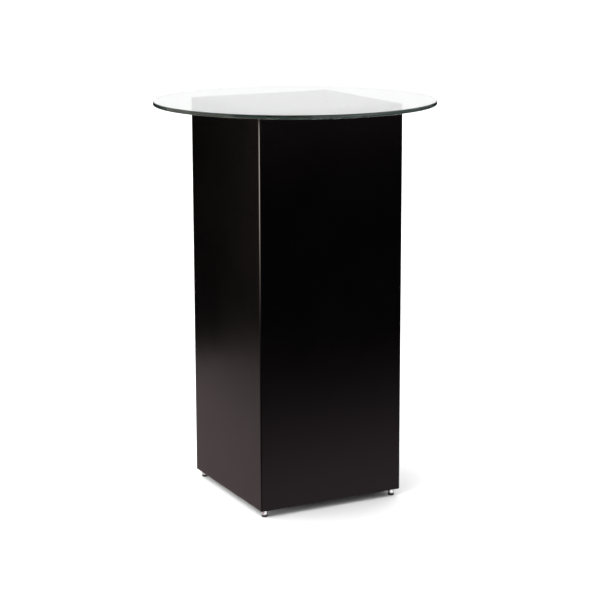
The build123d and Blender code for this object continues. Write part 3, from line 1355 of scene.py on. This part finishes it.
@dataclass
class Studio:
    """A pale floor, soft light, cards for the reflections, and the camera."""

    floor_reach: float = 30.0

    sky: float = 2.7
    low_sky: float = 0.15
    haze_top: float = 0.45
    light_from: Triple = (-0.5, 0.85, 0.0)
    flag_start: float = -0.7  # along light_from: darkest up to here, full from the flag's end
    flag_end: float = 0.3
    flagged_share: float = 0.2
    seen_sky: float = 1.4
    mirrored_sky: float = 1.03

    key_spot: Triple = (-2.6, -1.2, 2.4)
    key_side: float = 1.6
    key_power: float = 20.0
    strip_spot: Triple = (-1.5, 0.1, 0.16)
    strip_width: float = 1.8
    strip_height: float = 0.24
    strip_power: float = 16.0
    lamp_target: Triple = (0.0, 0.0, 20 * MM)

    card_height: float = 3.5
    card_width: float = 9.4
    card_offset: float = 4.2
    low_card_height: float = 1.0
    left_reach: float = 1.4
    front_reach: float = 1.75
    edge_light: float = 3.6
    left_floor_light: float = 1.1
    front_floor_light: float = 2.3
    left_glow: float = 0.6
    front_glow: float = 0.8
    floor_card_lift: float = 2 * MM
    floor_card_end: float = 9.0
    column_gap: float = -0.205  # where the floor cards end, just outside the column

    camera_distance: float = 4.5153
    camera_height: float = 1.502
    camera_azimuth: float = -0.47191
    camera_limit: float = 200.0
    aim_yaw: float = -0.00253
    aim_pitch: float = 0.19777
    aim_roll: float = -0.00261
    focal_share: float = 2.96945  # focal length over the sensor's width
    sensor_width: float = 36.0
    shift_up: float = -0.06

    bounces: int = 24  # light goes round inside the glass's edge before it leaves
    mirror_bounces: int = 16

    def build(self) -> None:
        """Set up the whole studio."""
        self.floor()
        self.world()
        self.lamps()
        self.cards()
        self.camera()
        bpy.context.scene.view_settings.view_transform = "Standard"
        light_paths = bpy.context.scene.cycles
        light_paths.max_bounces = self.bounces
        light_paths.glossy_bounces = self.mirror_bounces
        light_paths.transmission_bounces = self.bounces

    def floor(self) -> None:
        """The seamless floor under the feet."""
        reach = self.floor_reach
        self.level_sheet("floor", StudioFloor(), (-reach, -reach, reach, reach), 0.0)

    @staticmethod
    def level_sheet(name: str, finish: Finish, edges: Edges, height: float) -> bpy.types.Object:
        """One level rectangle.

        Args:
            name: its name.
            finish: its face.
            edges: lowest X, lowest Y, highest X and highest Y.
            height: its Z.

        Returns:
            The sheet.
        """
        left, near, right, far = edges
        corners = ((left, near), (right, near), (right, far), (left, far))
        made = bmesh.new()
        made.faces.new([made.verts.new((x, y, height)) for x, y in corners])
        return finish_mesh(name, made, (finish,))

    def world(self) -> None:
        """Soft light, strongest from the left and behind, set apart for each kind of ray."""
        world = bpy.data.worlds.new("soft_studio")
        world.use_nodes = True
        tree = world.node_tree
        tree.nodes.clear()
        ray = add_node(tree, "ShaderNodeLightPath").outputs
        way = add_node(tree, "ShaderNodeTexCoord").outputs["Generated"]
        rise = add_node(tree, "ShaderNodeSeparateXYZ", {0: way}).outputs["Z"]
        upper = add_node(
            tree,
            "ShaderNodeMapRange",
            {"Value": rise, "From Max": self.haze_top, "To Min": self.low_sky, "To Max": self.sky},
            interpolation_type="SMOOTHSTEP",
        )
        facing = add_node(
            tree, "ShaderNodeVectorMath", {0: way, 1: self.light_from}, operation="DOT_PRODUCT"
        ).outputs["Value"]
        flagged = add_node(
            tree,
            "ShaderNodeMapRange",
            {
                "Value": facing,
                "From Min": self.flag_start,
                "From Max": self.flag_end,
                "To Min": self.flagged_share,
            },
            interpolation_type="SMOOTHSTEP",
        )
        lit = add_node(tree, "ShaderNodeMath", {0: upper, 1: flagged}, operation="MULTIPLY")
        mirrored = add_node(
            tree,
            "ShaderNodeMapRange",
            {"Value": ray["Is Glossy Ray"], "To Min": lit, "To Max": self.mirrored_sky},
        )
        seen = add_node(
            tree,
            "ShaderNodeMath",
            {0: ray["Is Camera Ray"], 1: ray["Is Transmission Ray"]},
            operation="MAXIMUM",
        )
        strength = add_node(
            tree, "ShaderNodeMapRange", {"Value": seen, "To Min": mirrored, "To Max": self.seen_sky}
        )
        sky = add_node(tree, "ShaderNodeBackground", {"Color": WHITE, "Strength": strength})
        add_node(tree, "ShaderNodeOutputWorld", {"Surface": sky})
        bpy.context.scene.world = world

    def lamps(self) -> None:
        """A large soft lamp from high on the left, and a low strip that shines under the column."""
        self.lamp("key", self.key_spot, self.key_side, self.key_side, self.key_power)
        self.lamp("low_strip", self.strip_spot, self.strip_width, self.strip_height, self.strip_power)

    def lamp(self, name: str, spot: Triple, wide: float, tall: float, power: float) -> None:
        """One soft lamp that faces the foot of the column and stays out of reflections.

        Args:
            name: its name.
            spot: its middle.
            wide: its width.
            tall: its height.
            power: watts.
        """
        data = bpy.data.lights.new(name, "AREA")
        data.shape = "RECTANGLE"
        data.size = wide
        data.size_y = tall
        data.energy = power
        held = bpy.data.objects.new(name, data)
        held.location = spot
        held.rotation_euler = (Vector(self.lamp_target) - held.location).to_track_quat("-Z", "Y").to_euler()
        held.visible_glossy = False
        bpy.context.scene.collection.objects.link(held)

    def cards(self) -> None:
        """Cards round the plinth that keep its black faces black and brighten them downwards."""
        velvet = StudioCard(name="black_velvet")
        dim = StudioCard(name="dim_warm_card", colour="ffe8dc", strength=self.left_glow)
        dusk = StudioCard(
            name="front_fading_card", colour="ffffff", strength=self.front_glow, dark_at=0.66, bright_at=0.92
        )
        softbox = StudioCard(
            name="narrow_softbox", colour="fff4ea", strength=self.edge_light, dark_at=0.32, bright_at=0.84
        )
        left_floor = StudioCard(
            name="left_floor_glow",
            colour="ffe9e8",
            strength=self.left_floor_light,
            direction=(-1, 0, 0),
            dark_at=1.35,
            bright_at=0.42,
        )
        front_floor = StudioCard(
            name="front_floor_glow",
            colour="ffffff",
            strength=self.front_floor_light,
            direction=(0, -1, 0),
            dark_at=1.60,
            bright_at=0.20,
        )
        wide, high, low = self.card_width, self.card_height, self.low_card_height
        left, front, away = -self.left_reach, -self.front_reach, self.card_offset
        self.card("card_left", dim, (left, away, high / 2), wide, high, turn=90)
        self.card("card_front", dusk, (away, front, high / 2), wide, high, turn=0)
        self.card("card_corner", velvet, (-1.8, -1.8, high / 2), wide=4.5, tall=high, turn=135)
        self.card("card_right", velvet, (-left, 0.6, low / 2), wide=3.2, tall=low, turn=90)
        self.card("card_back", velvet, (0.0, -left, low / 2), wide=2.2, tall=low, turn=0)
        self.card("softbox_edge", softbox, (-0.62, -0.44, 0.60), wide=0.5, tall=0.66, turn=125)
        end, gap = self.floor_card_end, self.column_gap
        self.floor_card("floor_left", left_floor, (left, -0.35, gap, end))
        self.floor_card("floor_front", front_floor, (-0.30, front, end, gap))
        self.floor_card("floor_corner", velvet, (-2.4, -2.4, -0.30, -0.35))

    def card(
        self, name: str, finish: StudioCard, middle: Triple, wide: float, tall: float, turn: float
    ) -> None:
        """One upright card, seen only in reflections.

        Args:
            name: its name.
            finish: its face.
            middle: its middle.
            wide: its width.
            tall: its height.
            turn: degrees about Z from facing +Y.
        """
        spin = Matrix.Rotation(math.radians(turn), 3, "Z")
        x, z = wide / 2, tall / 2
        made = bmesh.new()
        corners = ((-x, -z), (x, -z), (x, z), (-x, z))
        made.faces.new([made.verts.new(Vector(middle) + spin @ Vector((a, 0, b))) for a, b in corners])
        self.only_mirrored(finish_mesh(name, made, (finish,)))

    def floor_card(self, name: str, finish: StudioCard, edges: Edges) -> None:
        """A level card just over the floor, seen only in reflections.

        Args:
            name: its name.
            finish: its face.
            edges: lowest X, lowest Y, highest X and highest Y.
        """
        self.only_mirrored(self.level_sheet(name, finish, edges, self.floor_card_lift))

    @staticmethod
    def only_mirrored(piece: bpy.types.Object) -> None:
        """Stage a piece that nothing but reflections can see.

        Args:
            piece: the piece.
        """
        for ray in ("camera", "diffuse", "transmission", "volume_scatter", "shadow"):
            setattr(piece, f"visible_{ray}", False)

    def camera(self) -> None:
        """The camera, a little above the glass and off the front left corner."""
        data = bpy.data.cameras.new("camera")
        data.sensor_width = self.sensor_width
        data.lens = self.sensor_width * self.focal_share
        data.shift_y = self.shift_up
        data.clip_end = self.camera_limit
        camera = bpy.data.objects.new("camera", data)
        bpy.context.scene.collection.objects.link(camera)
        azimuth = self.camera_azimuth
        camera.location = (
            self.camera_distance * math.sin(azimuth),
            -self.camera_distance * math.cos(azimuth),
            self.camera_height,
        )
        turn = Matrix.Rotation(azimuth + self.aim_yaw, 4, "Z")
        tilt = Matrix.Rotation(math.pi / 2 - self.aim_pitch, 4, "X")
        roll = Matrix.Rotation(self.aim_roll, 4, "Z")
        camera.rotation_euler = (turn @ tilt @ roll).to_euler()
        bpy.context.scene.camera = camera


def main() -> None:
    """Build the plinth and its studio in order."""
    logging.basicConfig(level=logging.INFO, format="%(message)s")
    Studio().build()
    ColumnBoards().build()
    InnerFraming().dress()
    for corner in Corner:
        LevellingFoot(corner).build()
    GlassTop().build()


if __name__ == "__main__":
    main()
